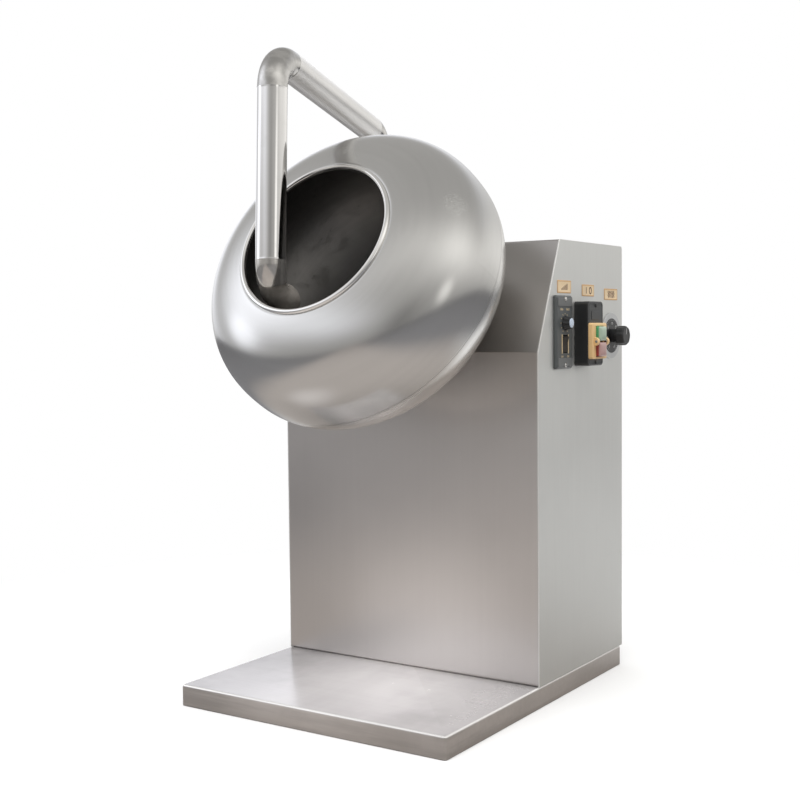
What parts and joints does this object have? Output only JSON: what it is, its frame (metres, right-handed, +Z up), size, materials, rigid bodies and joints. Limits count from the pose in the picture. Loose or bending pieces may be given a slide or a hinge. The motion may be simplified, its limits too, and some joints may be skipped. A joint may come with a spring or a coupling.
{
  "type": "chocolate coating pan",
  "caption": "Spun steel coating pan on a tilted shaft before a sheet cabinet, geared drive inside, liftable hot air pipe with turning nozzle, and knobs and push buttons on the side",
  "frame": {"origin": "middle of the base tray's footprint, on the floor", "axes": "+Z up, -Y the front with the pan, +X the side with the controls"},
  "size_m": [0.4375, 0.5411, 0.8448],
  "materials": {
    "brushed_steel": "stainless sheet, fine brushed grain",
    "satin_sheet": "stainless sheet, matt satin",
    "pan_steel": "spun stainless steel, satin polished",
    "pipe_steel": "polished stainless tube",
    "elbow_steel": "stainless elbow, dull from welding",
    "frame_paint": "grey primer, semi matt",
    "screw_steel": "bright zinc",
    "machined_steel": "turned and ground steel",
    "gear_steel": "hobbed steel, oiled",
    "cast_housing": "die cast, blasted",
    "motor_paint": "dark grey paint, semi gloss",
    "duct_sheet": "zinc coated sheet, dull",
    "element_sheath": "heat stained sheath",
    "black_plastic": "moulded black plastic, fine grain",
    "unit_plastic": "moulded dark blue grey plastic",
    "bezel_plastic": "moulded yellow orange plastic",
    "green_plastic": "moulded green plastic",
    "red_plastic": "moulded dark red plastic",
    "dial_metal": "satin anodised ring",
    "thermostat_ceramic": "unglazed cream ceramic"
  },
  "bodies": {
    "machine": {"base_tray": "brushed_steel", "cabinet_wrap": "brushed_steel", "pipe_collar": "brushed_steel", "side_panel_left": "satin_sheet", "side_panel_right": "satin_sheet", "back_panel": "satin_sheet", "base_stiffeners": "frame_paint", "shaft_ring": "frame_paint", "drive_cheek_left": "frame_paint", "drive_cheek_right": "frame_paint", "bearing_plate": "frame_paint", "gearbox_plate": "frame_paint", "blower_foot": "frame_paint", "back_screws": "screw_steel", "frame_bolts": "screw_steel", "control_screws": "screw_steel", "bearing_outer_race": "machined_steel", "gear_partition": "gear_steel", "bearing_housing": "cast_housing", "gearhead_case": "cast_housing", "motor_body": "motor_paint", "blower_motor": "motor_paint", "blower_scroll": "duct_sheet", "blower_inlet_plate": "duct_sheet", "heater_duct": "duct_sheet", "outlet_sleeve": "duct_sheet", "heater_element": "element_sheath", "cable_gland": "black_plastic", "switch_box": "black_plastic", "switch_block": "black_plastic", "speed_unit": "unit_plastic", "switch_bezel": "bezel_plastic", "dial_plate": "dial_metal", "thermostat": "thermostat_ceramic"},
    "pan": {"pan_rear": "pan_steel", "pan_front": "pan_steel", "pan_hub": "machined_steel", "hub_bolts": "screw_steel", "pan_shaft": "machined_steel", "bearing_inner_race": "machined_steel", "shaft_coupling": "machined_steel", "output_gear": "machined_steel"},
    "second_gear_shaft": {"second_gear": "gear_steel"},
    "first_gear_shaft": {"first_gear": "gear_steel"},
    "rotor": {"motor_rotor": "machined_steel"},
    "fan": {"blower_wheel": "duct_sheet"},
    "air_pipe": {"riser_tube": "pipe_steel", "rear_elbow": "elbow_steel", "run_tube": "pipe_steel", "front_elbow": "elbow_steel", "drop_tube": "pipe_steel", "knee_elbow": "elbow_steel", "nozzle_socket": "elbow_steel"},
    "nozzle_end": {"nozzle": "elbow_steel"},
    "clamp": {"clamp_screw": "black_plastic"},
    "speed_dial": {"speed_knob": "black_plastic"},
    "rocker": {"run_rocker": "black_plastic"},
    "start_button": {"green_button": "green_plastic"},
    "stop_button": {"red_button": "red_plastic"},
    "heater_dial": {"heater_knob": "black_plastic"}
  },
  "joints": [
    {"name": "pan_spin", "type": "hinge", "parent": "machine", "child": "pan", "pos_m": [0, -0.118, 0.549], "axis": [0, -0.8721, 0.4894], "continuous": true},
    {"name": "second_gear_spin", "type": "hinge", "parent": "machine", "child": "second_gear_shaft", "pos_m": [0.02199, 0.08659, 0.42317], "axis": [0, -0.8721, 0.4894], "continuous": true},
    {"name": "first_gear_spin", "type": "hinge", "parent": "machine", "child": "first_gear_shaft", "pos_m": [0.01917, 0.07493, 0.40238], "axis": [0, -0.8721, 0.4894], "continuous": true},
    {"name": "rotor_spin", "type": "hinge", "parent": "machine", "child": "rotor", "pos_m": [0, 0.13432, 0.38562], "axis": [0, -0.8721, 0.4894], "continuous": true},
    {"name": "fan_spin", "type": "hinge", "parent": "machine", "child": "fan", "pos_m": [-0.148, 0.0795, 0.12575], "axis": [-1, 0, 0], "continuous": true},
    {"name": "pipe_lift", "type": "slide", "parent": "machine", "child": "air_pipe", "axis": [0, 0, 1], "range_m": [0, 0.1]},
    {"name": "nozzle_turn", "type": "hinge", "parent": "air_pipe", "child": "nozzle_end", "pos_m": [-0.05625, -0.22488, 0.55898], "axis": [-0.1652, 0.348, -0.9228], "range_deg": [-60, 60]},
    {"name": "clamp_turn", "type": "hinge", "parent": "machine", "child": "clamp", "pos_m": [-0.148, 0.18, 0.621], "axis": [0, 1, 0], "range_deg": [0, 180]},
    {"name": "speed_turn", "type": "hinge", "parent": "machine", "child": "speed_dial", "pos_m": [0.212, 0.0535, 0.4958], "axis": [1, 0, 0], "range_deg": [-150, 150]},
    {"name": "rocker_tilt", "type": "hinge", "parent": "machine", "child": "rocker", "pos_m": [0.2055, 0.0535, 0.4685], "axis": [0, -1, 0], "range_deg": [0, 16]},
    {"name": "start_press", "type": "slide", "parent": "machine", "child": "start_button", "axis": [-1, 0, 0], "range_m": [0, 0.003], "stiffness_N_per_m": 300, "springref_m": -0.003},
    {"name": "stop_press", "type": "slide", "parent": "machine", "child": "stop_button", "axis": [-1, 0, 0], "range_m": [0, 0.003], "stiffness_N_per_m": 300, "springref_m": -0.003},
    {"name": "heater_turn", "type": "hinge", "parent": "machine", "child": "heater_dial", "pos_m": [0.215, 0.209, 0.478], "axis": [-1, 0, 0], "range_deg": [0, 300]}
  ],
  "couplings": [
    {"joint": "second_gear_spin", "follows": "pan_spin", "ratio": -2.5},
    {"joint": "first_gear_spin", "follows": "pan_spin", "ratio": 7.5},
    {"joint": "rotor_spin", "follows": "pan_spin", "ratio": -30}
  ]
}
